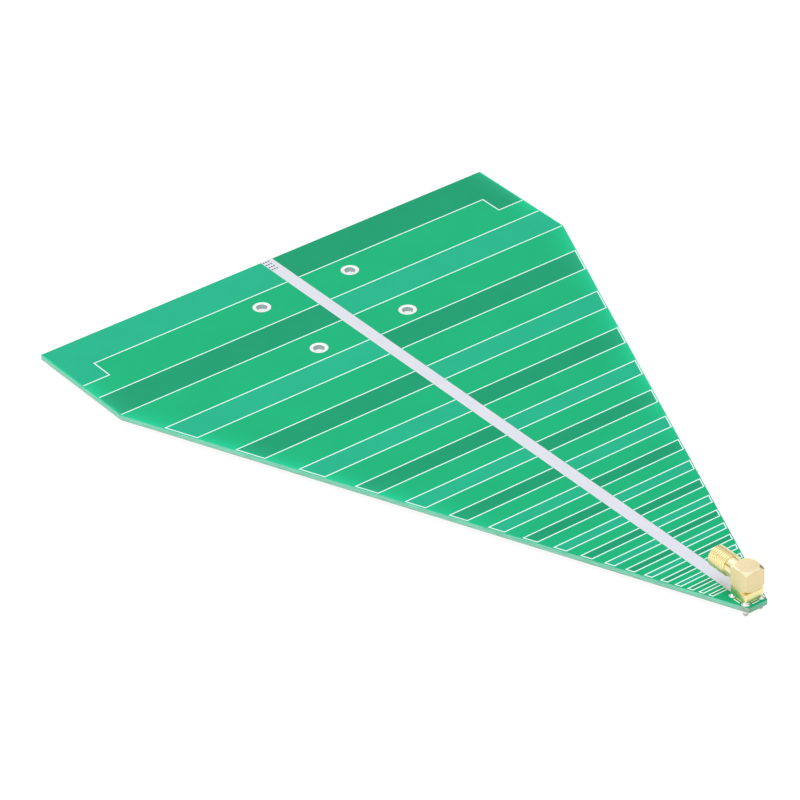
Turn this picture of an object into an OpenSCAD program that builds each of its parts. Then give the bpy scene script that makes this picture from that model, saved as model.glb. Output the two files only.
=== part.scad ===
// Log-periodic antenna on a double-sided circuit board, with a right-angle coaxial jack at its tip.
// X runs along the boom to the tip, Y across the elements, and Z up on the jack's side.
// The origin is the centre of the four mounting holes, on the underside of the coated board.

/* [Board] */
// Length from the back edge to the tip
board_length = 222; // [210:0.5:240]
// Width across the longest elements
board_width = 160; // [150:0.5:180]
// Length of the straight sides beside the longest elements
side_length = 40.3; // [36:0.1:44]
// Width of the square-cut tip
tip_width = 6.3; // [6:0.1:8]
// Thickness of the bare laminate
laminate_t = 1.5; // [0.8:0.1:2.4]

/* [Layers] */
// Thickness of each copper layer
copper_t = 0.035; // [0.03:0.005:0.07]
// Thickness of the solder mask over the copper
mask_t = 0.025; // [0.025:0.005:0.04]
// Thickness of the tin on bare copper
tin_t = 0.02; // [0.01:0.005:0.02]
// Thickness of the white legend print
legend_t = 0.02; // [0.01:0.005:0.03]
// Thickness of the copper on the wall of a hole
plating_t = 0.03; // [0.02:0.005:0.05]
// Clearance of the solder mask around a pad
mask_gap = 0.05; // [0.05:0.01:0.1]
// Width of the legend lines
legend_w = 0.35; // [0.3:0.05:0.5]
// Clearance of the legend print beside bare tin
legend_gap = 0.1; // [0.05:0.05:0.2]

/* [Elements] */
// Number of elements on each side of the boom
element_count = 20; // [12:1:20]
// Distance past the tip of the point where the element spacing runs out
apex_gap = 8.1; // [7:0.1:10]
// Depth of the strip of the rearmost element
rear_depth = 13.4; // [10:0.1:16]
// Reach of the hooks at the ends of the rearmost element, from the back edge
hook_reach = 21.2; // [18:0.1:25]
// Clear span between the two hooks
hook_span = 141.4; // [130:0.1:148]
// Distance of the second element from the back edge
second_line = 29.1; // [27:0.1:31]
// Distance of an element from the apex, over that of the one behind it
spacing_ratio = 0.8783; // [0.86:0.0001:0.88]
// Distance of an element's front line from the apex, over that of its rear line
strip_ratio = 0.945; // [0.92:0.001:0.96]
// Bare margin between the elements and the board's edge
edge_gap = 0.5; // [0.4:0.05:1]
// Width of the boom
boom_width = 4.1; // [3.5:0.1:4.5]
// Bare margin between the boom and the back edge
boom_gap = 0.1; // [0.05:0.05:0.3]

/* [Mounting holes] */
// Spacing of the mounting holes along the boom
hole_spacing_x = 28; // [24:0.5:32]
// Spacing of the mounting holes across the boom
hole_spacing_y = 32; // [24:0.5:60]
// Distance of the first row of holes from the back edge
hole_back = 19.8; // [18:0.1:24]
// Bore of a mounting hole
hole_d = 3.2; // [2.2:0.1:3.6]
// Outer diameter of the ring around a mounting hole
ring_d = 5.4; // [4.8:0.1:6.5]

/* [Boom vias] */
// Number of vias along the boom
via_rows = 4; // [2:1:6]
// Number of vias across the boom
via_columns = 3; // [1:1:3]
// Spacing of the vias along the boom
via_pitch_x = 1.5; // [1:0.05:2]
// Spacing of the vias across the boom
via_pitch_y = 0.85; // [0.8:0.05:0.95]
// Distance of the first row of vias from the back edge
via_back = 0.65; // [0.6:0.05:1.5]
// Offset of the middle column of vias from the boom's centre line
via_offset = -0.63; // [-0.7:0.01:0.7]
// Bore of a via
via_d = 0.6; // [0.4:0.05:0.65]

/* [Jack on the board] */
// Distance of the jack's centre from the tip
jack_from_tip = 4.6; // [4.5:0.1:6]
// Spacing of the legs
leg_pitch = 5.08; // [4.9:0.01:5.2]
// Width of a square leg
leg_w = 1; // [0.8:0.05:1.05]
// Bore of a leg's plated hole
leg_hole_d = 1.6; // [1.55:0.05:1.7]
// Diameter of a leg's pad
leg_pad_d = 2.5; // [2:0.05:2.5]
// Length of the legs below the board
leg_below = 2; // [1.6:0.1:3]
// Bore of the tail pin's plated hole
pin_hole_d = 1.2; // [1.1:0.05:1.3]
// Diameter of the tail pin's pad
pin_pad_d = 2; // [1.8:0.05:2.1]
// Clearance of copper around a pad that it does not join
pad_gap = 0.35; // [0.2:0.05:0.4]
// Width of the trace from the bottom boom to the tail pin
trace_w = 1.5; // [1:0.1:1.7]
// Height of the solder fillets above the pads
fillet_top = 0.7; // [0.5:0.1:1.5]
// Depth of the solder fillets below the pads
fillet_low = 1.1; // [0.4:0.1:1.2]
// Hollow of the solder fillets, where 1 is a straight cone
fillet_hollow = 1.4; // [1:0.1:2]
// Distance between the legend dashes on opposite sides of the jack
dash_span = 7.1; // [7:0.05:7.4]
// Length of a legend dash
dash_length = 2.4; // [1.5:0.1:2.5]

/* [Jack body] */
// Height of the base's underside above the board
base_gap = 0.2; // [0.1:0.05:0.5]
// Width of the square base
base_w = 6.35; // [6.3:0.05:6.5]
// Height of the base
base_t = 3; // [2:0.1:3.2]
// Radius of the base's upright edges
base_edge_r = 0.4; // [0.2:0.05:0.4]
// Width of the block
block_w = 6.6; // [6.5:0.05:7.2]
// Height of the block above the base
block_h = 6.85; // [6.5:0.05:7.2]
// Radius of the block's upright edges
block_edge_r = 0.3; // [0.1:0.05:0.6]
// Diameter of the block's round top face
cap_d = 6.4; // [5.8:0.05:6.4]
// Slope of the turned chamfer below the top face, in degrees
cap_angle = 29; // [20:1:40]
// Diameter of the turned foot where the block meets the base
foot_d = 6.3; // [5.8:0.05:6.3]
// Slope of the turned chamfer above the foot, in degrees
foot_angle = 40; // [30:1:50]
// Height of the barrel's axis above the board
axis_h = 6.4; // [6.1:0.05:6.6]

/* [Jack barrel] */
// Distance of the mouth from the jack's centre
barrel_reach = 12.8; // [12:0.1:15]
// Diameter over the coupling thread
thread_d = 6.35; // [6.3:0.01:6.4]
// Length of the coupling thread
thread_length = 6.4; // [4:0.1:7]
// Chamfer at the mouth
mouth_chamfer = 0.3; // [0.1:0.05:0.4]
// Diameter of the neck between thread and block
neck_d = 5.6; // [5.45:0.05:6.1]
// Diameter of the spigot that is pressed into the block
spigot_d = 5.2; // [4.8:0.05:5.4]
// Length of the spigot
spigot_length = 1; // [0.6:0.1:1.1]
// Bore of the mouth
mouth_d = 4.6; // [4.5:0.01:4.7]
// Depth of the mouth
mouth_depth = 1.93; // [1.8:0.01:2.1]

/* [Centre conductor] */
// Diameter of the insulators
insulator_d = 4.1; // [3.9:0.05:4.15]
// Diameter of the centre contact
contact_d = 1.27; // [1.2:0.01:1.3]
// Bore of the contact's socket
socket_d = 0.94; // [0.9:0.01:0.96]
// Depth of the contact's socket
socket_depth = 2.8; // [2:0.1:3.5]
// Width of the slots that let the socket spring
slot_w = 0.2; // [0.1:0.05:0.25]
// Setback of the contact behind the insulator's face
contact_setback = 0.1; // [0.05:0.05:0.25]
// Length of the contact behind the tail pin's axis
contact_tail = 0.9; // [0.7:0.1:1.2]
// Diameter of the tail pin
pin_d = 0.9; // [0.7:0.05:0.95]
// Length of the tail pin below the board
pin_below = 1.5; // [1.3:0.1:2]
// Height of the tail pin's top above the barrel's axis
pin_rise = 0.5; // [0.3:0.05:0.6]
// Height of the cavity above the barrel's axis
cavity_rise = 1.1; // [0.9:0.1:1.5]
// Radial clearance of pressed and soldered round fits
fit_gap = 0.01; // [0.005:0.005:0.02]

/* [Hidden] */
$fn = 64;
back_x = -(hole_back + hole_spacing_x / 2);
jack_d = board_length - jack_from_tip;
jack_x = back_x + jack_d;
coat_t = copper_t + mask_t;
pad_t = copper_t + tin_t;
lam_low = coat_t;
lam_top = lam_low + laminate_t;
board_top = lam_top + coat_t;
taper = (board_width - tip_width) / 2 / (board_length - side_length);
apex = board_length + apex_gap;
boom_front = jack_d - leg_pitch / 2 - leg_pad_d / 2 - pad_gap;
via_count = via_rows * via_columns;
insulator_r = insulator_d / 2;
insulator_bore_r = insulator_r + fit_gap;
mouth_floor = barrel_reach - mouth_depth;
spigot_end = block_w / 2 - spigot_length;
base_top = base_gap + base_t;
block_top = base_top + block_h;
cut = 1;

function half_width(d) = min(board_width / 2, tip_width / 2 + taper * (board_length - d));
function rear_line(k) = k == 1 ? -legend_w : apex - (apex - second_line) * pow(spacing_ratio, k - 2);
function front_line(k) = k == 1 ? rear_depth : apex - (apex - rear_line(k)) * strip_ratio;
function runs_to_side(k) = front_line(k) <= side_length;
function top_side(k) = k % 2 == 1 ? -1 : 1;
function corner(i) = [i <= 2 ? -1 : 1, i % 2 == 1 ? -1 : 1];
function hole_at(i) = [corner(i).x * hole_spacing_x / 2, corner(i).y * hole_spacing_y / 2];
function leg_at(i) = [jack_x + corner(i).x * leg_pitch / 2, corner(i).y * leg_pitch / 2];
function via_at(i) = [
    back_x + via_back + via_pitch_x * floor((i - 1) / via_columns),
    via_offset + via_pitch_y * ((i - 1) % via_columns - (via_columns - 1) / 2)
];
function names(stem, count) = [for (i = [1:count]) str(stem, i)];

// Flat shapes, with X measured from the back edge

// Board outline, drawn in by an inset
module outline_2d(inset = 0) {
    front = board_length - inset;
    side_y = board_width / 2 - inset;
    nose_y = half_width(front) - inset;
    polygon([
        [inset, -side_y], [side_length, -side_y], [front, -nose_y],
        [front, nose_y], [side_length, side_y], [inset, side_y]
    ]);
}

// Half-plane strip from one X to another, on one side of the boom and from a given Y outwards
module side_strip_2d(side, from_x, to_x, from_y = 0) {
    low_y = side > 0 ? from_y : -board_width;
    translate([from_x, low_y])
        square([to_x - from_x, board_width - from_y]);
}

// Lines of one half-element, before the board's edge ends it
module element_lines_2d(k, side, grow) {
    side_strip_2d(side, rear_line(k) - grow, front_line(k) + grow);
    if (k == 1)
        side_strip_2d(side, rear_line(k) - grow, hook_reach + grow, hook_span / 2 - grow);
}

// One half-element, grown on all its edges
module half_element_2d(k, side, grow = 0) {
    intersection() {
        outline_2d(edge_gap - grow);
        element_lines_2d(k, side, grow);
    }
}

// Legend line around one half-element, open where the board's side ends the element
module element_frame_2d(k, side) {
    difference() {
        half_element_2d(k, side, legend_w / 2);
        if (runs_to_side(k))
            element_lines_2d(k, side, -legend_w / 2);
        else
            half_element_2d(k, side, -legend_w / 2);
    }
}

module boom_2d(front, spare = 0) {
    translate([boom_gap - spare, -boom_width / 2 - spare])
        square([front - boom_gap + 2 * spare, boom_width + 2 * spare]);
}

// Round shapes at the mounting holes, the legs, the tail pin and the vias
module rounds_2d(hole, leg, pin) {
    translate([-back_x, 0]) {
        for (i = [1:4]) {
            translate(hole_at(i)) circle(d = hole);
            translate(leg_at(i)) circle(d = leg);
        }
        translate([jack_x, 0]) circle(d = pin);
    }
}

module vias_2d(d) {
    translate([-back_x, 0])
        for (i = [1:via_count])
            translate(via_at(i)) circle(d = d);
}

// Places where the solder mask leaves the metal bare
module openings_2d() {
    boom_2d(boom_front);
    rounds_2d(ring_d + 2 * mask_gap, leg_pad_d + 2 * mask_gap, pin_pad_d + 2 * mask_gap);
}

// Boom and alternate half-elements of one copper layer: 1 is the top one, -1 the bottom one
module antenna_2d(layer) {
    boom_2d(boom_front);
    for (k = [1:element_count])
        half_element_2d(k, layer * top_side(k));
}

module top_copper_2d() {
    difference() {
        union() {
            antenna_2d(1);
            boom_2d(jack_d + leg_pitch / 2);
        }
        rounds_2d(ring_d + 2 * pad_gap, leg_pad_d, pin_pad_d + 2 * pad_gap);
        vias_2d(via_d + 2 * plating_t);
    }
}

module bottom_copper_2d() {
    difference() {
        union() {
            antenna_2d(-1);
            translate([boom_front - cut, -trace_w / 2])
                square([jack_d - boom_front + cut, trace_w]);
        }
        rounds_2d(ring_d + 2 * pad_gap, leg_pad_d + 2 * pad_gap, pin_pad_d);
        vias_2d(via_d + 2 * plating_t);
    }
}

// Bare tin on the boom, around the via bores
module boom_tin_2d() {
    difference() {
        boom_2d(boom_front);
        vias_2d(via_d);
    }
}

module jack_dashes_2d() {
    translate([jack_d, 0])
        for (turn = [-90, 0, 90])
            rotate(turn)
                translate([dash_span / 2 - legend_w / 2, -dash_length / 2])
                    square([legend_w, dash_length]);
}

module legend_2d() {
    difference() {
        union() {
            for (k = [1:element_count], side = [-1, 1])
                element_frame_2d(k, side);
            jack_dashes_2d();
        }
        boom_2d(boom_front, legend_gap);
        rounds_2d(ring_d + 2 * mask_gap, leg_pad_d + 2 * mask_gap, pin_pad_d);
    }
}

// Solid shapes shared by several pieces

// Sheet of a flat shape, at its place on the board
module layer(z, thickness) {
    translate([back_x, 0, z])
        linear_extrude(thickness)
            children();
}

// Plated wall of a hole with a pad on each face of the laminate
module eyelet(bore_d, pad_d) {
    bore_r = bore_d / 2;
    pad_r = pad_d / 2;
    wall_r = bore_r + plating_t;
    rotate_extrude()
        polygon([
            [bore_r, lam_low - pad_t], [pad_r, lam_low - pad_t], [pad_r, lam_low], [wall_r, lam_low],
            [wall_r, lam_top], [pad_r, lam_top], [pad_r, lam_top + pad_t], [bore_r, lam_top + pad_t]
        ]);
}

// Profile of a solder fillet that sweeps from the pad in to the shank over a height
function fillet_curve(shank_r, pad_r, from_z, to_z, steps = 5) = [
    for (s = [0:steps])
        let (t = s / steps)
            [shank_r + (pad_r - shank_r) * pow(1 - t, fillet_hollow), from_z + (to_z - from_z) * t]
];

// Solder joint that fills a plated hole and stands up on both its pads
module solder_joint(shank_r, bore_d, pad_d, top_h, low_h) {
    fill_r = bore_d / 2 - fit_gap;
    low_z = lam_low - pad_t;
    top_z = lam_top + pad_t;
    top_curve = fillet_curve(shank_r, pad_d / 2, top_z, top_z + top_h);
    low_curve = fillet_curve(shank_r, pad_d / 2, low_z, low_z - low_h);
    low_up = [for (i = [len(low_curve) - 1:-1:0]) low_curve[i]];
    rotate_extrude()
        polygon(concat(
            [[0, low_z - low_h]], low_up, [[fill_r, low_z], [fill_r, top_z]], top_curve, [[0, top_z + top_h]]
        ));
}

// Frame of the jack: its centre on the board's top face
module at_jack() {
    translate([jack_x, 0, board_top])
        children();
}

// Frame of the barrel: Z runs from the jack's centre out of the mouth
module at_barrel() {
    at_jack()
        translate([0, 0, axis_h])
            rotate([0, -90, 0])
                children();
}

// Square bar with round edges, centred on Z
module rounded_bar(width, r, low, high) {
    core = width - 2 * r;
    translate([0, 0, low])
        linear_extrude(high - low) {
            square([width, core], center = true);
            square([core, width], center = true);
            for (x = [-1, 1], y = [-1, 1])
                translate([x * core / 2, y * core / 2])
                    circle(r = r);
        }
}

// Turned envelope of the block: a round foot that opens as a cone, and a cone that closes to a round top
module turned_ends(low) {
    foot_r = foot_d / 2;
    cap_r = cap_d / 2;
    run = block_w / 4;
    rotate_extrude()
        polygon([
            [0, low], [foot_r, low], [foot_r, base_top], [foot_r + run, base_top + run * tan(foot_angle)],
            [cap_r + run, block_top - run * tan(cap_angle)], [cap_r, block_top], [0, block_top]
        ]);
}

// Square block with turned ends, whose foot reaches into the base
module jack_block() {
    low = base_top - base_t / 2;
    intersection() {
        rounded_bar(block_w, block_edge_r, low, block_top);
        turned_ends(low);
    }
}

// Square base below the block, grown on all its faces
module jack_base(grow = 0) {
    at_jack()
        rounded_bar(base_w + 2 * grow, base_edge_r + grow, base_gap - grow, base_top + grow);
}

// Leg from a depth below the board up into the base
module leg_bar(i, depth) {
    translate([leg_at(i).x - leg_w / 2, leg_at(i).y - leg_w / 2, -depth])
        cube([leg_w, leg_w, depth + board_top + base_gap + base_t / 2]);
}

// Sub-parts

module board_laminate() {
    color([0.72, 0.8, 0.6])
        layer(lam_low, laminate_t)
            difference() {
                outline_2d();
                rounds_2d(hole_d + 2 * plating_t, leg_hole_d + 2 * plating_t, pin_hole_d + 2 * plating_t);
                vias_2d(via_d + 2 * plating_t);
            }
}

module top_copper() {
    color([0.8, 0.5, 0.3])
        layer(lam_top, copper_t) top_copper_2d();
}

module bottom_copper() {
    color([0.8, 0.5, 0.3])
        layer(lam_low - copper_t, copper_t) bottom_copper_2d();
}

module top_solder_mask() {
    color([0.15, 0.72, 0.5])
        difference() {
            layer(lam_top, coat_t)
                difference() {
                    outline_2d();
                    openings_2d();
                }
            layer(lam_top - cut, cut + copper_t) top_copper_2d();
        }
}

module bottom_solder_mask() {
    color([0.15, 0.72, 0.5])
        difference() {
            layer(lam_low - coat_t, coat_t)
                difference() {
                    outline_2d();
                    openings_2d();
                }
            layer(lam_low - copper_t, copper_t + cut) bottom_copper_2d();
        }
}

module top_legend() {
    color("white")
        layer(board_top, legend_t) legend_2d();
}

module top_boom_tin() {
    color([0.88, 0.88, 0.92])
        layer(lam_top + copper_t, tin_t) boom_tin_2d();
}

module bottom_boom_tin() {
    color([0.88, 0.88, 0.92])
        layer(lam_low - pad_t, tin_t) boom_tin_2d();
}

module mount_hole_plating(i) {
    color([0.88, 0.88, 0.92])
        translate(hole_at(i)) eyelet(hole_d, ring_d);
}

module boom_via(i) {
    color([0.88, 0.88, 0.92])
        translate([via_at(i).x, via_at(i).y, lam_low - copper_t])
            linear_extrude(laminate_t + 2 * copper_t)
                difference() {
                    circle(d = via_d + 2 * plating_t);
                    circle(d = via_d);
                }
}

module leg_hole_plating(i) {
    color([0.88, 0.88, 0.92])
        translate(leg_at(i)) eyelet(leg_hole_d, leg_pad_d);
}

module pin_hole_plating() {
    color([0.88, 0.88, 0.92])
        translate([jack_x, 0]) eyelet(pin_hole_d, pin_pad_d);
}

// Block, base and legs in one piece, bored for the barrel and the two insulators
module jack_body() {
    color([0.93, 0.82, 0.55])
        difference() {
            union() {
                at_jack() jack_block();
                jack_base();
                for (i = [1:4])
                    leg_bar(i, leg_below);
            }
            at_barrel() {
                cylinder(r = insulator_bore_r, h = block_w);
                translate([0, 0, spigot_end])
                    cylinder(r = spigot_d / 2 + fit_gap, h = block_w);
            }
            at_jack()
                translate([0, 0, base_gap - cut])
                    cylinder(r = insulator_bore_r, h = axis_h + cavity_rise - base_gap + cut);
        }
}

// Turned tube: spigot, neck, thread and mouth, bored right through for the insulator
module jack_barrel() {
    thread_r = thread_d / 2;
    neck_end = barrel_reach - thread_length;
    color([0.93, 0.82, 0.55])
        at_barrel()
            rotate_extrude()
                polygon([
                    [insulator_bore_r, spigot_end], [spigot_d / 2, spigot_end], [spigot_d / 2, block_w / 2],
                    [neck_d / 2, block_w / 2], [neck_d / 2, neck_end], [thread_r, neck_end],
                    [thread_r, barrel_reach - mouth_chamfer], [thread_r - mouth_chamfer, barrel_reach],
                    [mouth_d / 2, barrel_reach], [mouth_d / 2, mouth_floor], [insulator_bore_r, mouth_floor]
                ]);
}

module barrel_insulator() {
    start = insulator_bore_r + fit_gap;
    color("white")
        at_barrel()
            translate([0, 0, start])
                linear_extrude(mouth_floor - start)
                    difference() {
                        circle(r = insulator_r);
                        circle(d = contact_d + 2 * fit_gap);
                    }
}

// Socket with two spring slots at the mouth, and a cross bore for the tail pin
module centre_contact() {
    tip = mouth_floor - contact_setback;
    color([0.93, 0.82, 0.55])
        at_barrel()
            difference() {
                translate([0, 0, -contact_tail])
                    cylinder(d = contact_d, h = tip + contact_tail);
                translate([0, 0, tip - socket_depth])
                    cylinder(d = socket_d, h = socket_depth + cut);
                translate([-contact_d, -slot_w / 2, tip - socket_depth])
                    cube([2 * contact_d, slot_w, socket_depth + cut]);
                rotate([0, 90, 0])
                    cylinder(d = pin_d + 2 * fit_gap, h = 2 * contact_d, center = true);
            }
}

module tail_pin() {
    color([0.93, 0.82, 0.55])
        translate([jack_x, 0, -pin_below])
            cylinder(d = pin_d, h = pin_below + board_top + axis_h + pin_rise);
}

module tail_insulator() {
    height = axis_h - insulator_bore_r - fit_gap - base_gap;
    color("white")
        at_jack()
            translate([0, 0, base_gap])
                linear_extrude(height)
                    difference() {
                        circle(r = insulator_r);
                        circle(d = pin_d + 2 * fit_gap);
                    }
}

// Joint of a leg, which fills the gap under the base and stands up around its corner
module leg_solder(i) {
    shank_r = leg_w / sqrt(2) + fit_gap;
    color([0.85, 0.85, 0.88])
        difference() {
            translate(leg_at(i))
                solder_joint(shank_r, leg_hole_d, leg_pad_d, fillet_top, fillet_low);
            leg_bar(i, leg_below + cut);
            jack_base(fit_gap);
        }
}

// Joint of the tail pin, with no fillet on top where the base hides it
module pin_solder() {
    color([0.85, 0.85, 0.88])
        difference() {
            translate([jack_x, 0])
                solder_joint(pin_d / 2 + fit_gap, pin_hole_d, pin_pad_d, tin_t, fillet_low);
            translate([jack_x, 0, -pin_below - cut])
                cylinder(d = pin_d + 2 * fit_gap, h = pin_below + board_top + 2 * cut);
        }
}

board_laminate();
top_copper();
bottom_copper();
top_solder_mask();
bottom_solder_mask();
top_legend();
top_boom_tin();
bottom_boom_tin();
for (i = [1:4])
    mount_hole_plating(i);
for (i = [1:via_count])
    boom_via(i);
for (i = [1:4])
    leg_hole_plating(i);
pin_hole_plating();
jack_body();
jack_barrel();
barrel_insulator();
centre_contact();
tail_pin();
tail_insulator();
for (i = [1:4])
    leg_solder(i);
pin_solder();
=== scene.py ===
"""Looks of the log-periodic antenna: mask, legend, tin, gold jack with its thread, floor and light."""
import math

import bmesh
import bpy
from mathutils import Matrix, Vector


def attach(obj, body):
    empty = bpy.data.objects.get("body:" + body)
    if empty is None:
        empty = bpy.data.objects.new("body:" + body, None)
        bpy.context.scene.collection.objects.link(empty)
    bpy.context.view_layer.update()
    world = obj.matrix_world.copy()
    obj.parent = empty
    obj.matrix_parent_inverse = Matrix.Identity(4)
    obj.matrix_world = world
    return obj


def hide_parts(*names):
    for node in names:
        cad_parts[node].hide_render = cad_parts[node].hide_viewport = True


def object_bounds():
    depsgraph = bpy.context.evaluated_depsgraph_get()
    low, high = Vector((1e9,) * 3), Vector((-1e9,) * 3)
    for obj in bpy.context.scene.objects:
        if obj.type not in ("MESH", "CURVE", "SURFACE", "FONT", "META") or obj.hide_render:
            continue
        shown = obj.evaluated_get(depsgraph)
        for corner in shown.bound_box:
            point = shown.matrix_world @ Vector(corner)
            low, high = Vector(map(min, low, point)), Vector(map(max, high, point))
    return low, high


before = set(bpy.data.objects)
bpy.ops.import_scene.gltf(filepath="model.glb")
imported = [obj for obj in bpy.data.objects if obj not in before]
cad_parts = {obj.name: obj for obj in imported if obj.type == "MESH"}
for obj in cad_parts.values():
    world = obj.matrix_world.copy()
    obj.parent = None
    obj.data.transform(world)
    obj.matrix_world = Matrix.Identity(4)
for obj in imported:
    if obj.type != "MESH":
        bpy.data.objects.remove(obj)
CAD_LOW, CAD_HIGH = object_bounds()

MM = 0.001

# Board and elements, in millimetres; distances are from the back edge
BACK_X = -33.8
BOARD_LENGTH = 222.0
BOARD_WIDTH = 160.0
BOARD_TOP = 1.62
SIDE_LENGTH = 40.3
TIP_WIDTH = 6.3
ELEMENT_COUNT = 20
APEX = BOARD_LENGTH + 8.1
REAR_DEPTH = 13.4
HOOK_REACH = 21.2
HOOK_SPAN = 141.4
SECOND_LINE = 29.1
SPACING_RATIO = 0.8783
STRIP_RATIO = 0.945
EDGE_GAP = 0.5
TAPER = (BOARD_WIDTH - TIP_WIDTH) / 2 / (BOARD_LENGTH - SIDE_LENGTH)

# Light that leaks up from the cut edges: its reach inwards, and the stretch over which it fades to the tip
GLOW_REACH = 2.8
GLOW_FADE = (120.0, 180.0)

# Grey parts of the cut edge: round one corner of the tip, and the lower plies up to a height
GREY_CORNER = (BACK_X + BOARD_LENGTH - 1.2, -TIP_WIDTH / 2 - 0.5, 0.8)
CORNER_REACH = (1.2, 2.4)
LOWER_PLIES = (0.45, 0.8)
LOWER_SHARE = 0.5

# Jack, in millimetres; distances along the barrel are from the jack's centre towards the mouth
JACK_X = BACK_X + BOARD_LENGTH - 4.6
AXIS_Z = BOARD_TOP + 6.4
BARREL_REACH = 12.8
BLOCK_HALF = 3.3
BASE_TOP = BOARD_TOP + 3.2
SPIGOT_END = BLOCK_HALF - 1.0
SPIGOT_R = 2.6
NECK_R = 2.8
MOUTH_R = 2.3
MOUTH_DEPTH = 1.93
MOUTH_CHAMFER = 0.3
BORE_R = 2.06

# Coupling thread; the root and the flank are shares of half a pitch, the run-outs are in pitches, and the
# lead-in starts at a share of the depth
THREAD_R = 3.175
THREAD_LENGTH = 6.4
THREAD_PITCH = 0.7056
THREAD_DEPTH = 0.3
THREAD_ROOT = 0.12
THREAD_FLANK = 0.5
MOUTH_RUN_OUT = 0.6
NECK_RUN_OUT = 0.3
LEAD_IN_START = 0.4

# Rounded edges of the jack's body
EDGE_ROUND = 0.15
EDGE_STEPS = 3
EDGE_ANGLE = 25

# Finish of the jack's body: heights over which it changes, values for base and block, and what milling adds
BASE_BLEND = 0.05
LEG_BLEND = 0.2
BODY_METALLIC = (1.0, 0.7)
BODY_ROUGHNESS = (0.3, 0.24)
MILLED_ROUGHNESS = 0.24

# Mounting holes, in millimetres; the rings lie on both faces of the laminate
HOLE_SPACING = (28.0, 32.0)
HOLE_CORNERS = [(-1, -1), (-1, 1), (1, -1), (1, 1)]
HOLE_R = 1.6
RING_R = 2.7
RING_FACES = (0.005, 1.615)
RING_SEATS = (0.06, 1.56)
RIM_ROUND = 0.3
RIM_DEPTH = 0.25
RIM_STEPS = 6

# Turned pieces: steps round the axis and along a pitch, and the angle in degrees from which edges are sharp
TURN_STEPS = 96
TURN_ANGLES = [2 * math.pi * i / TURN_STEPS for i in range(TURN_STEPS)]
PITCH_STEPS = 14
SHARP_ANGLE = 35

# Copies of CAD meshes: distances in metres at which corners join and a cut counts as on a corner, and the
# angle in degrees up to which faces count as one
WELD_DISTANCE = 1e-6
CUT_TOLERANCE = 1e-8
FLAT_ANGLE = 1

# Sides of the board, and the places of the mask's materials by the copper under it
TOP_LAYER, BOTTOM_LAYER = 1, -1
OVER_LAMINATE, OVER_NEAR_COPPER, OVER_FAR_COPPER = range(3)

# Camera of the photograph
VIEW_TARGET = (50.3, -14.4, BOARD_TOP)
VIEW_DISTANCE = 1390.9
VIEW_AZIMUTH = 53.65
VIEW_ELEVATION = 33.64
VIEW_ROLL = -1.667
SENSOR_MM = 36.0
LENS_MM = 221.66

# Colours as they show, in sRGB
MASK_GAP = (26, 174, 120)
MASK_NEAR = (37, 175, 135)
MASK_FAR = (27, 152, 109)
MASK_GAP_EDGE = (37, 200, 149)
MASK_NEAR_EDGE = (38, 175, 136)
MASK_FAR_EDGE = (42, 173, 130)
LEGEND_WHITE = (230, 255, 252)
TIN_GREY = (234, 237, 248)
RING_WHITE = (250, 250, 252)
# The grey of the plated hole walls is painted shade of the hole's inside
WALL_SHADE_GREY = (188, 197, 201)
GOLD = (248, 230, 186)
BASE_GOLD = (247, 228, 170)
FLAT_GOLD = (244, 226, 178)
# The lighter gold for the block's sloped faces is a painted highlight
HIGHLIGHT_GOLD = (255, 247, 208)
BARREL_GOLD = (247, 233, 180)
SOLDER_GREY = (232, 232, 232)
LEG_GREY = (182, 182, 178)
LAMINATE_GREEN = (142, 240, 206)
LAMINATE_GREY = (182, 210, 194)
COPPER = (214, 150, 110)
PLASTIC_WHITE = (240, 240, 236)

# How level a face is, as its normal's height: where a face of the mask counts as level, and the ranges over
# which a plated hole turns from wall to ring, and the jack from upright to sloped and from sloped to level
LEVEL_FACE = 0.5
RING_LEVELS = (0.3, 0.7)
UPRIGHT_LEVELS = (0.3, 0.5)
SLOPED_LEVELS = (0.9, 0.98)

# Studio round the table: plain at the board's ends, with a dark wall along its sides. Levels go by the sine
# of the elevation, and the turn from a side to an end by how far sideways a direction points.
STUDIO_ENDS = (0.97, 0.97, 0.95, 1)
STUDIO_TURN = (0.6, 0.35)
STUDIO_LEVELS = [
    (0.0, (0.95, 0.94, 0.92, 1)),
    (0.2, (0.9, 0.89, 0.86, 1)),
    (0.26, (0.12, 0.08, 0.03, 1)),
    (0.42, (0.12, 0.08, 0.03, 1)),
    (0.5, (0.95, 0.95, 0.95, 1)),
    (0.7, (1.0, 1.0, 1.0, 1)),
    (1.0, (0.95, 0.95, 0.95, 1)),
]
FLOOR_SIZE = 6.0
FLOOR_GLOW = 0.9
FLOOR_DIFFUSE = (0.2, 0.2, 0.2, 1)

# Soft boxes: name, place and size in metres, power in watts, and whether they show in the metal
LAMPS = [
    ("key", (0.1, -0.15, 1.3), 0.9, 1.9, False),
    ("back", (-0.62, -0.02, 0.9), 0.4, 1.1, True),
    ("fill", (0.1, -1.3, 0.45), 1.0, 6.5, True),
]


def linear(rgb):
    """Linear colour, with alpha, of an sRGB one from 0 to 255."""
    parts = [c / 255 for c in rgb]
    return tuple(c / 12.92 if c <= 0.04045 else ((c + 0.055) / 1.055) ** 2.4 for c in parts) + (1.0,)


def shade(color, factor):
    """Colour made lighter or darker by a factor."""
    return tuple(min(1.0, c * factor) for c in color[:3]) + (1.0,)


def fill_ramp(node, stops):
    """Sets the stops of a colour ramp, as pairs of a place and a colour."""
    elements = node.color_ramp.elements
    while len(elements) < len(stops):
        elements.new(0.5)
    for element, (at, color) in zip(elements, stops):
        element.position = at
        element.color = color


# Materials

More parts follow.
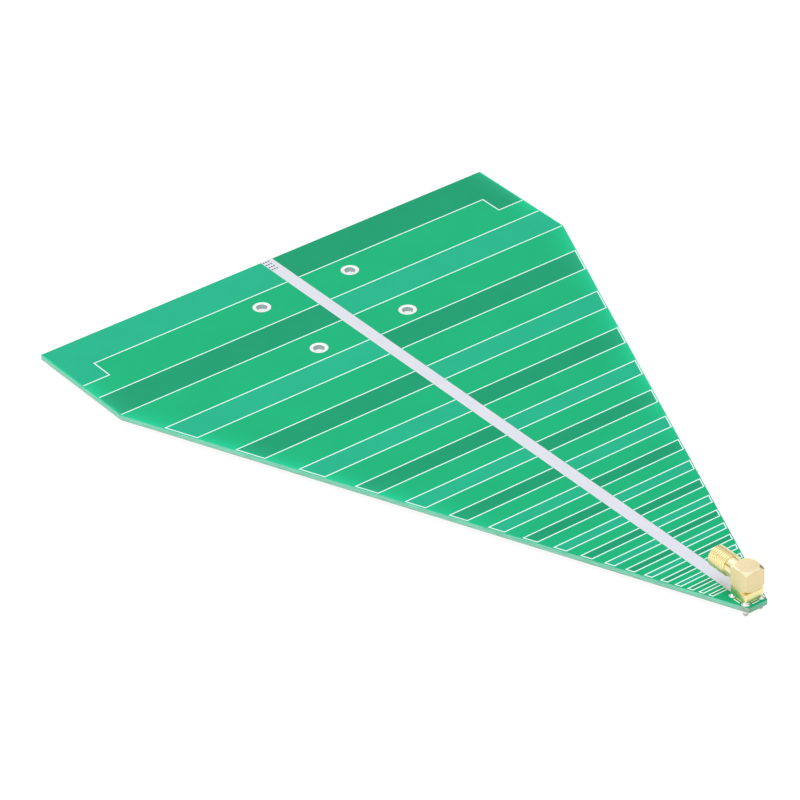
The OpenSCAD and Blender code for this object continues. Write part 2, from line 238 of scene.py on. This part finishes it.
class Graph:
    """A material's node tree with short ways to add and join nodes."""

    def __init__(self, name):
        self.material = bpy.data.materials.new(name)
        self.material.use_nodes = True
        self.nodes = self.material.node_tree.nodes
        self.links = self.material.node_tree.links
        self.shader = self.nodes["Principled BSDF"]
        self.place = self.nodes.new("ShaderNodeTexCoord").outputs["Object"]

    def set(self, **values):
        """Sets constants on the shader's own sockets."""
        for key, value in values.items():
            self.shader.inputs[key.replace("_", " ")].default_value = value

    def join(self, source, target):
        self.links.new(source, target)

    def feed(self, source, socket):
        """Joins a source to one of the shader's sockets."""
        self.join(source, self.shader.inputs[socket])

    def scaled(self, scale):
        """Object coordinates times a scale for each axis."""
        node = self.nodes.new("ShaderNodeVectorMath")
        node.operation = "MULTIPLY"
        node.inputs[1].default_value = scale
        self.join(self.place, node.inputs[0])
        return node.outputs["Vector"]

    def noise(self, scale, detail=3.0):
        """Noise of about one blotch for each unit of the scaled coordinates."""
        node = self.nodes.new("ShaderNodeTexNoise")
        node.inputs["Scale"].default_value = 1.0
        node.inputs["Detail"].default_value = detail
        node.inputs["Roughness"].default_value = 0.55
        self.join(self.scaled(scale), node.inputs["Vector"])
        return node.outputs["Fac"]

    def ramp(self, factor, stops):
        """Colour along a ramp of stops."""
        node = self.nodes.new("ShaderNodeValToRGB")
        fill_ramp(node, stops)
        self.join(factor, node.inputs["Fac"])
        return node.outputs["Color"]

    def between(self, value, start, end, low, high):
        """A value's way from a start to an end, spread from low to high."""
        node = self.nodes.new("ShaderNodeMapRange")
        node.inputs["From Min"].default_value = start
        node.inputs["From Max"].default_value = end
        node.inputs["To Min"].default_value = low
        node.inputs["To Max"].default_value = high
        self.join(value, node.inputs["Value"])
        return node.outputs["Result"]

    def spread(self, factor, low, high):
        """Noise, which keeps mostly to its middle half, spread from low to high."""
        return self.between(factor, 0.25, 0.75, low, high)

    def axis(self, vector, name):
        """One coordinate of a vector."""
        node = self.nodes.new("ShaderNodeSeparateXYZ")
        self.join(vector, node.inputs["Vector"])
        return node.outputs[name]

    def level(self):
        """How level the surface is: 1 where it faces up or down, 0 where it stands upright."""
        normal = self.nodes.new("ShaderNodeNewGeometry").outputs["Normal"]
        return self.math("ABSOLUTE", self.axis(normal, "Z"))

    def math(self, operation, first, second=None):
        """Result of a math node on a socket and, if there is one, a second socket or number."""
        node = self.nodes.new("ShaderNodeMath")
        node.operation = operation
        self.join(first, node.inputs[0])
        if isinstance(second, (int, float)):
            node.inputs[1].default_value = second
        elif second is not None:
            self.join(second, node.inputs[1])
        return node.outputs["Value"]

    def distance(self, place):
        """Distance of the surface from a place in millimetres."""
        node = self.nodes.new("ShaderNodeVectorMath")
        node.operation = "DISTANCE"
        node.inputs[1].default_value = Vector(place) * MM
        self.join(self.place, node.inputs[0])
        return node.outputs["Value"]

    def mix(self, factor, first, second):
        """Colour between two colour sockets."""
        node = self.nodes.new("ShaderNodeMixRGB")
        self.join(factor, node.inputs["Fac"])
        self.join(first, node.inputs["Color1"])
        self.join(second, node.inputs["Color2"])
        return node.outputs["Color"]

    def drift(self, rgb, scale, amount):
        """Colour that drifts a little lighter and darker in blotches."""
        color = linear(rgb)
        stops = [(0.3, shade(color, 1 - amount)), (0.7, shade(color, 1 + amount))]
        return self.ramp(self.noise(scale), stops)

    def paint(self, rgb, scale, amount):
        """Drifting colour all over the surface."""
        self.set(Base_Color=linear(rgb))
        self.feed(self.drift(rgb, scale, amount), "Base Color")

    def rough(self, scale, low, high):
        """Roughness that drifts from low to high in blotches."""
        self.feed(self.spread(self.noise(scale), low, high), "Roughness")

    def bump(self, height, strength, distance):
        """Fine relief from a height socket, as deep as a distance in metres."""
        node = self.nodes.new("ShaderNodeBump")
        node.inputs["Strength"].default_value = strength
        node.inputs["Distance"].default_value = distance
        self.join(height, node.inputs["Height"])
        self.feed(node.outputs["Normal"], "Normal")


def edge_glow(graph):
    """Share of light that leaks up from the board's cut edges, which fades inwards and towards the tip."""
    across = graph.math("ABSOLUTE", graph.axis(graph.place, "Y"))
    along = graph.axis(graph.place, "X")
    taper_start, taper_end = (BACK_X + SIDE_LENGTH) * MM, (BACK_X + BOARD_LENGTH) * MM
    half = graph.between(along, taper_start, taper_end, BOARD_WIDTH / 2 * MM, TIP_WIDTH / 2 * MM)
    inset = graph.math("SUBTRACT", half, across)
    glow = graph.math("EXPONENT", graph.math("DIVIDE", inset, -GLOW_REACH * MM))
    fade_start, fade_end = ((BACK_X + d) * MM for d in GLOW_FADE)
    return graph.math("MULTIPLY", glow, graph.between(along, fade_start, fade_end, 1.0, 0.0))


def mask_material(name, rgb, edge_rgb):
    g = Graph(name)
    g.set(IOR=1.5, Specular_IOR_Level=0.04)
    inner = g.drift(rgb, (60, 60, 60), amount=0.03)
    rim = g.drift(edge_rgb, (60, 60, 60), amount=0.03)
    g.feed(g.mix(edge_glow(g), inner, rim), "Base Color")
    g.rough((300, 300, 300), low=0.3, high=0.4)
    g.bump(g.noise((900, 900, 900), detail=2), strength=0.05, distance=0.0001)
    return g.material


def legend_material():
    g = Graph("legend_ink")
    g.set(Specular_IOR_Level=0.3)
    g.paint(LEGEND_WHITE, (700, 700, 700), amount=0.02)
    g.rough((2000, 2000, 2000), low=0.45, high=0.65)
    g.bump(g.noise((4000, 4000, 4000)), strength=0.15, distance=0.00002)
    return g.material


def tin_material():
    g = Graph("bright_tin")
    g.set(Metallic=0.75)
    g.paint(TIN_GREY, (120, 700, 700), amount=0.02)
    g.rough((200, 2000, 2000), low=0.3, high=0.36)
    g.bump(g.noise((300, 900, 900)), strength=0.02, distance=0.00003)
    return g.material


def ring_material():
    """Bright rings around the plated holes, and a darker grey on their walls that is painted shade."""
    g = Graph("hole_plating")
    g.set(Metallic=0.55)
    # Upright wall faces take the grey of painted shade, level faces the bright ring
    colors = [linear(WALL_SHADE_GREY), linear(RING_WHITE)]
    g.feed(g.ramp(g.level(), list(zip(RING_LEVELS, colors))), "Base Color")
    g.rough((900, 900, 2000), low=0.24, high=0.36)
    g.bump(g.noise((1500, 1500, 1500)), strength=0.05, distance=0.00003)
    return g.material


def gold_material(name, rgb, metallic):
    g = Graph(name)
    g.set(Metallic=metallic)
    g.paint(rgb, (400, 400, 400), amount=0.04)
    g.rough((1500, 1500, 1500), low=0.16, high=0.26)
    g.bump(g.noise((5000, 5000, 5000)), strength=0.06, distance=0.00001)
    return g.material


def body_color(g, height, on_block, flat, sloped):
    """Tinned leg ends, the base above them, and the block's top, milled flats, and sloped faces in a
    lighter gold that is a painted highlight.
    """
    legs = g.drift(LEG_GREY, (900, 900, 900), amount=0.06)
    base = g.drift(BASE_GOLD, (400, 400, 400), amount=0.03)
    top = g.drift(GOLD, (400, 400, 400), amount=0.03)
    # Lighter gold on the sloped faces of the block, chamfers and the cone under it alike: a painted
    # highlight
    painted_highlight = g.drift(HIGHLIGHT_GOLD, (400, 400, 400), amount=0.03)
    milled = g.drift(FLAT_GOLD, (400, 400, 1500), amount=0.03)
    above_board = g.between(height, -LEG_BLEND * MM, LEG_BLEND * MM, 0.0, 1.0)
    lower = g.mix(above_board, legs, base)
    upper = g.mix(flat, g.mix(sloped, top, painted_highlight), milled)
    return g.mix(on_block, lower, upper)


def body_material():
    """Gold of a polished base, and of a block with dull milled flats and a painted highlight of lighter
    gold on its sloped faces.
    """
    g = Graph("gold_body")
    height = g.axis(g.place, "Z")
    level = g.level()
    base_top = ((BASE_TOP - BASE_BLEND) * MM, (BASE_TOP + BASE_BLEND) * MM)
    on_block = g.between(height, *base_top, 0.0, 1.0)
    upright = g.between(level, *UPRIGHT_LEVELS, 1.0, 0.0)
    # Sloped faces take the painted highlight's lighter gold, and are fully metallic
    sloped = g.math("SUBTRACT", g.between(level, *SLOPED_LEVELS, 1.0, 0.0), upright)
    flat = g.math("MULTIPLY", upright, on_block)
    g.feed(body_color(g, height, on_block, flat, sloped), "Base Color")
    g.feed(g.math("MAXIMUM", g.between(height, *base_top, *BODY_METALLIC), sloped), "Metallic")
    grain = g.spread(g.noise((1500, 1500, 1500)), -0.03, 0.03)
    milling = g.math("MULTIPLY", flat, MILLED_ROUGHNESS)
    polish = g.between(height, *base_top, *BODY_ROUGHNESS)
    g.feed(g.math("ADD", polish, g.math("ADD", grain, milling)), "Roughness")
    g.bump(g.noise((5000, 5000, 5000)), strength=0.015, distance=0.00001)
    return g.material


def solder_material():
    g = Graph("wetted_solder")
    g.set(Metallic=1.0)
    g.paint(SOLDER_GREY, (900, 900, 900), amount=0.06)
    g.rough((1500, 1500, 1500), low=0.14, high=0.3)
    g.bump(g.noise((1800, 1800, 1800), detail=2), strength=0.25, distance=0.00006)
    return g.material


def laminate_material():
    """Cut edge of the glass-epoxy: plies of cloth as fine streaks, greyer below and at one corner."""
    g = Graph("cut_laminate")
    g.set(Specular_IOR_Level=0.3)
    streaks = g.noise((250, 250, 3500), detail=4)
    corner_start, corner_end = (reach * MM for reach in CORNER_REACH)
    corner = g.between(g.distance(GREY_CORNER), corner_start, corner_end, 1.0, 0.0)
    plies_start, plies_end = (height * MM for height in LOWER_PLIES)
    lower = g.between(g.axis(g.place, "Z"), plies_start, plies_end, LOWER_SHARE, 0.0)
    tints = []
    for rgb in (LAMINATE_GREEN, LAMINATE_GREY):
        color = linear(rgb)
        stops = [(0.3, shade(color, 0.8)), (0.55, color), (0.75, shade(color, 1.25))]
        tints.append(g.ramp(streaks, stops))
    g.feed(g.mix(g.math("MAXIMUM", corner, lower), *tints), "Base Color")
    g.rough((900, 900, 4000), low=0.5, high=0.75)
    g.bump(streaks, strength=0.3, distance=0.00005)
    return g.material


def copper_material():
    g = Graph("etched_copper")
    g.set(Metallic=1.0)
    g.paint(COPPER, (300, 300, 300), amount=0.05)
    g.rough((800, 800, 800), low=0.3, high=0.45)
    return g.material


def insulator_material():
    g = Graph("white_fluoroplastic")
    g.set(Specular_IOR_Level=0.35)
    g.paint(PLASTIC_WHITE, (600, 600, 600), amount=0.02)
    g.rough((1200, 1200, 1200), low=0.4, high=0.55)
    return g.material


# Pieces

def dress(material, *nodes):
    """Gives CAD nodes a material."""
    for name in nodes:
        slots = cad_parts[name].data.materials
        slots.clear()
        slots.append(material)


def numbered(stem, count):
    return [f"{stem}_{i}" for i in range(1, count + 1)]


def add_piece(name, mesh, materials):
    """Turns a bmesh into a piece that rides on the part."""
    data = bpy.data.meshes.new(name)
    mesh.to_mesh(data)
    mesh.free()
    for material in materials:
        data.materials.append(material)
    piece = bpy.data.objects.new(name, data)
    bpy.context.scene.collection.objects.link(piece)
    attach(piece, "root")
    return piece


def node_copy(node):
    """Mesh of a CAD node as a bmesh with its corners joined."""
    mesh = bmesh.new()
    mesh.from_mesh(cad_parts[node].data)
    bmesh.ops.remove_doubles(mesh, verts=mesh.verts[:], dist=WELD_DISTANCE)
    return mesh


def turned_piece(name, rings, material):
    """Closed tube through rings of places in millimetres, from the last ring back to the first."""
    mesh = bmesh.new()
    rows = [[mesh.verts.new(Vector(place) * MM) for place in ring] for ring in rings]
    for row, after in zip(rows, rows[1:] + rows[:1]):
        for i in range(TURN_STEPS):
            j = (i + 1) % TURN_STEPS
            mesh.faces.new((row[i], row[j], after[j], after[i]))
    bmesh.ops.recalc_face_normals(mesh, faces=mesh.faces[:])
    for face in mesh.faces:
        face.smooth = True
    piece = add_piece(name, mesh, [material])
    piece.data.set_sharp_from_angle(angle=math.radians(SHARP_ANGLE))
    return piece


# Solder mask, with one material for each way the copper lies under it

def rear_line(k):
    return 0.0 if k == 1 else APEX - (APEX - SECOND_LINE) * SPACING_RATIO ** (k - 2)


def front_line(k):
    return REAR_DEPTH if k == 1 else APEX - (APEX - rear_line(k)) * STRIP_RATIO


def half_width(d):
    return min(BOARD_WIDTH / 2, TIP_WIDTH / 2 + TAPER * (BOARD_LENGTH - d))


def element_at(d, y):
    """Number of the element that covers a place on the board, or 0 in the gaps."""
    if abs(y) > half_width(d) - EDGE_GAP:
        return 0
    if abs(y) > HOOK_SPAN / 2 and d < HOOK_REACH:
        return 1
    for k in range(1, ELEMENT_COUNT + 1):
        if rear_line(k) <= d <= front_line(k):
            return k
    return 0


def copper_under(d, y, layer):
    """Place of the material for a layer's mask, by the copper under it."""
    k = element_at(d, y)
    if k == 0:
        return OVER_LAMINATE
    top_side = -1 if k % 2 == 1 else 1
    return OVER_NEAR_COPPER if y * layer * top_side > 0 else OVER_FAR_COPPER


def cut_lines():
    """Upright planes, as a point and a normal in board millimetres, along the copper's outline."""
    across = [HOOK_REACH]
    for k in range(1, ELEMENT_COUNT + 1):
        across.append(front_line(k))
        if k > 1:
            across.append(rear_line(k))
    lines = [((d, 0), (1, 0)) for d in across]
    edge = BOARD_WIDTH / 2 - EDGE_GAP
    for side in (-1, 1):
        lines.append(((0, side * HOOK_SPAN / 2), (0, 1)))
        lines.append(((0, side * edge), (0, 1)))
        lines.append(((SIDE_LENGTH, side * edge), (side * TAPER, 1)))
    return lines


def split_mask(name, node, layer, materials):
    """Copy of a mask node that is cut along the copper's outline and coloured by what lies under it."""
    mesh = node_copy(node)
    for (d, y), (nx, ny) in cut_lines():
        geometry = mesh.verts[:] + mesh.edges[:] + mesh.faces[:]
        point = Vector(((BACK_X + d) * MM, y * MM, 0))
        bmesh.ops.bisect_plane(
            mesh, geom=geometry, dist=CUT_TOLERANCE, plane_co=point, plane_no=(nx, ny, 0)
        )
    for face in mesh.faces:
        at = face.calc_center_median()
        under = copper_under(at.x / MM - BACK_X, at.y / MM, layer)
        face.material_index = under if abs(face.normal.z) > LEVEL_FACE else OVER_LAMINATE
        face.smooth = False
    piece = add_piece(name, mesh, materials)
    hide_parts(node)


# Jack: the barrel with its thread, and the body with rounded edges

def thread_radius(along, angle):
    """Radius of a right-hand thread at a distance from the mouth, run out at both ends."""
    phase = (along / THREAD_PITCH + angle / (2 * math.pi)) % 1.0
    ridge = 1 - abs(2 * phase - 1)
    ridge = min(1.0, max(0.0, (ridge - THREAD_ROOT) / THREAD_FLANK))
    at_mouth = along / (THREAD_PITCH * MOUTH_RUN_OUT)
    at_neck = (THREAD_LENGTH - along) / (THREAD_PITCH * NECK_RUN_OUT)
    ends = max(0.0, min(1.0, at_mouth, at_neck))
    lead_in = min(1.0, LEAD_IN_START + along / MOUTH_CHAMFER * (1 - LEAD_IN_START))
    chamfered = THREAD_R - MOUTH_CHAMFER * (1 - min(1.0, along / MOUTH_CHAMFER))
    return min(chamfered, THREAD_R - THREAD_DEPTH * (1 - ridge) * ends * lead_in)


def barrel_section():
    """Section of the barrel, as pairs of a distance from the jack's centre and the radii round it."""
    floor = BARREL_REACH - MOUTH_DEPTH
    neck_end = BARREL_REACH - THREAD_LENGTH
    bore = [(SPIGOT_END, BORE_R), (floor, BORE_R), (floor, MOUTH_R), (BARREL_REACH, MOUTH_R)]
    tail = [(neck_end, NECK_R), (BLOCK_HALF, NECK_R), (BLOCK_HALF, SPIGOT_R), (SPIGOT_END, SPIGOT_R)]
    thread = []
    steps = round(THREAD_LENGTH / THREAD_PITCH * PITCH_STEPS)
    for i in range(steps + 1):
        along = THREAD_LENGTH * i / steps
        thread.append((BARREL_REACH - along, [thread_radius(along, a) for a in TURN_ANGLES]))
    plain_bore, plain_tail = ([(x, [r] * TURN_STEPS) for x, r in part] for part in (bore, tail))
    return plain_bore + thread + plain_tail


def barrel_ring(along, radii):
    """Places round the barrel's axis at a distance from the jack's centre."""
    x = JACK_X - along
    return [(x, r * math.sin(a), AXIS_Z + r * math.cos(a)) for a, r in zip(TURN_ANGLES, radii)]


def threaded_barrel(material):
    rings = [barrel_ring(along, radii) for along, radii in barrel_section()]
    piece = turned_piece("threaded_barrel", rings, material)
    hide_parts("jack_barrel")


def rounded_body(material):
    """Copy of the jack's body whose sharp edges are rounded over a little, so that they catch the light."""
    mesh = node_copy("jack_body")
    bmesh.ops.dissolve_limit(
        mesh, angle_limit=math.radians(FLAT_ANGLE), verts=mesh.verts[:], edges=mesh.edges[:]
    )
    for face in mesh.faces:
        face.smooth = True
    piece = add_piece("rounded_body", mesh, [material])
    piece.data.set_sharp_from_angle(angle=math.radians(EDGE_ANGLE))
    bevel = piece.modifiers.new("round_edges", "BEVEL")
    bevel.width = EDGE_ROUND * MM
    bevel.segments = EDGE_STEPS
    bevel.limit_method = "ANGLE"
    bevel.angle_limit = math.radians(EDGE_ANGLE)
    bevel.harden_normals = True
    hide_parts("jack_body")


# Mounting holes with tinned rims

def rim_section():
    """Half section of a plated hole, as pairs of a radius and a height, with rims rounded into the bore."""
    section = []
    for face, seat in zip(RING_FACES, RING_SEATS):
        way = 1 if face > seat else -1
        rim = [(RING_R, seat), (RING_R, face)]
        for i in range(RIM_STEPS + 1):
            turn = math.pi / 2 * i / RIM_STEPS
            r = HOLE_R + RIM_ROUND * (1 - math.sin(turn))
            z = face - way * RIM_DEPTH * (1 - math.cos(turn))
            rim.append((r, z))
        section += rim if way < 0 else rim[::-1]
    return section


def tinned_ring(name, node, corner, material):
    x, y = (side * spacing / 2 for side, spacing in zip(corner, HOLE_SPACING))
    rings = []
    for r, z in rim_section():
        rings.append([(x + r * math.cos(a), y + r * math.sin(a), z) for a in TURN_ANGLES])
    piece = turned_piece(name, rings, material)
    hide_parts(node)


# Stage

def add_camera():
    azimuth, elevation, roll = (math.radians(v) for v in (VIEW_AZIMUTH, VIEW_ELEVATION, VIEW_ROLL))
    outward = math.cos(elevation)
    back = Vector((math.sin(azimuth) * outward, -math.cos(azimuth) * outward, math.sin(elevation)))
    level = Vector((math.cos(azimuth), math.sin(azimuth), 0))
    upright = back.cross(level)
    right = level * math.cos(roll) + upright * math.sin(roll)
    turn = Matrix((right, back.cross(right), back)).transposed()
    data = bpy.data.cameras.new("camera")
    data.sensor_width = SENSOR_MM
    data.lens = LENS_MM
    camera = bpy.data.objects.new("camera", data)
    place = (Vector(VIEW_TARGET) + back * VIEW_DISTANCE) * MM
    camera.matrix_world = Matrix.Translation(place) @ turn.to_4x4()
    bpy.context.scene.collection.objects.link(camera)
    bpy.context.scene.camera = camera


def add_world():
    world = bpy.data.worlds.new("studio")
    world.use_nodes = True
    nodes, links = world.node_tree.nodes, world.node_tree.links
    direction = nodes.new("ShaderNodeTexCoord").outputs["Generated"]
    parts = nodes.new("ShaderNodeSeparateXYZ")
    links.new(direction, parts.inputs["Vector"])
    wall = nodes.new("ShaderNodeValToRGB")
    fill_ramp(wall, STUDIO_LEVELS)
    links.new(parts.outputs["Z"], wall.inputs["Fac"])
    sideways = nodes.new("ShaderNodeMath")
    sideways.operation = "ABSOLUTE"
    links.new(parts.outputs["Y"], sideways.inputs[0])
    turn = nodes.new("ShaderNodeMapRange")
    turn.inputs["From Min"].default_value, turn.inputs["From Max"].default_value = STUDIO_TURN
    links.new(sideways.outputs["Value"], turn.inputs["Value"])
    studio = nodes.new("ShaderNodeMixRGB")
    studio.inputs["Color2"].default_value = STUDIO_ENDS
    links.new(turn.outputs["Result"], studio.inputs["Fac"])
    links.new(wall.outputs["Color"], studio.inputs["Color1"])
    links.new(studio.outputs["Color"], nodes["Background"].inputs["Color"])
    bpy.context.scene.world = world


def table_material():
    """White that mostly glows to the camera and in reflections, and still takes a soft shadow."""
    material = bpy.data.materials.new("white_table")
    material.use_nodes = True
    nodes, links = material.node_tree.nodes, material.node_tree.links
    nodes.remove(nodes["Principled BSDF"])
    path = nodes.new("ShaderNodeLightPath")
    seen = path.outputs["Is Camera Ray"]
    for kind in ("Is Glossy Ray", "Is Transmission Ray"):
        either = nodes.new("ShaderNodeMath")
        either.operation = "MAXIMUM"
        links.new(seen, either.inputs[0])
        links.new(path.outputs[kind], either.inputs[1])
        seen = either.outputs["Value"]
    strength = nodes.new("ShaderNodeMath")
    strength.operation = "MULTIPLY"
    strength.inputs[1].default_value = FLOOR_GLOW
    links.new(seen, strength.inputs[0])
    glow = nodes.new("ShaderNodeEmission")
    links.new(strength.outputs["Value"], glow.inputs["Strength"])
    diffuse = nodes.new("ShaderNodeBsdfDiffuse")
    diffuse.inputs["Color"].default_value = FLOOR_DIFFUSE
    both = nodes.new("ShaderNodeAddShader")
    links.new(glow.outputs["Emission"], both.inputs[0])
    links.new(diffuse.outputs["BSDF"], both.inputs[1])
    links.new(both.outputs["Shader"], nodes["Material Output"].inputs["Surface"])
    return material


def add_floor():
    """Table that the part lies on."""
    mesh = bmesh.new()
    bmesh.ops.create_grid(mesh, x_segments=1, y_segments=1, size=FLOOR_SIZE / 2)
    data = bpy.data.meshes.new("floor")
    mesh.to_mesh(data)
    mesh.free()
    data.materials.append(table_material())
    floor = bpy.data.objects.new("floor", data)
    floor.location.z = CAD_LOW.z
    bpy.context.scene.collection.objects.link(floor)


def add_lamp(name, place, size, power, mirrored):
    """Square soft box that faces the board's middle, and shows in the metal if it is mirrored."""
    data = bpy.data.lights.new(name, "AREA")
    data.size = size
    data.energy = power
    lamp = bpy.data.objects.new(name, data)
    lamp.location = place
    lamp.visible_glossy = mirrored
    aim = Vector(VIEW_TARGET) * MM - Vector(place)
    lamp.rotation_euler = aim.to_track_quat("-Z", "Y").to_euler()
    bpy.context.scene.collection.objects.link(lamp)


def add_stage():
    bpy.context.scene.view_settings.view_transform = "Standard"
    add_camera()
    add_world()
    add_floor()
    for lamp in LAMPS:
        add_lamp(*lamp)


def add_board():
    """Masks, copper, legend and tin of the board, and its plated holes."""
    masks = [
        mask_material("mask_over_laminate", MASK_GAP, MASK_GAP_EDGE),
        mask_material("mask_over_near_copper", MASK_NEAR, MASK_NEAR_EDGE),
        mask_material("mask_over_far_copper", MASK_FAR, MASK_FAR_EDGE),
    ]
    split_mask("mask_top", "top_solder_mask", TOP_LAYER, masks)
    split_mask("mask_bottom", "bottom_solder_mask", BOTTOM_LAYER, masks)
    dress(laminate_material(), "board_laminate")
    dress(copper_material(), "top_copper", "bottom_copper")
    dress(legend_material(), "top_legend")
    dress(tin_material(), "top_boom_tin", "bottom_boom_tin")
    ring = ring_material()
    for i, corner in enumerate(HOLE_CORNERS, 1):
        tinned_ring(f"tinned_ring_{i}", f"mount_hole_plating_{i}", corner, ring)
    dress(ring, *numbered("leg_hole_plating", 4), "pin_hole_plating", *numbered("boom_via", 12))


def add_jack():
    """Gold jack with its insulators, contact and solder."""
    threaded_barrel(gold_material("gold_barrel", BARREL_GOLD, metallic=0.7))
    rounded_body(body_material())
    dress(gold_material("gold_contact", GOLD, metallic=1.0), "centre_contact", "tail_pin")
    dress(insulator_material(), "barrel_insulator", "tail_insulator")
    dress(solder_material(), *numbered("leg_solder", 4), "pin_solder")


add_stage()
add_board()
add_jack()
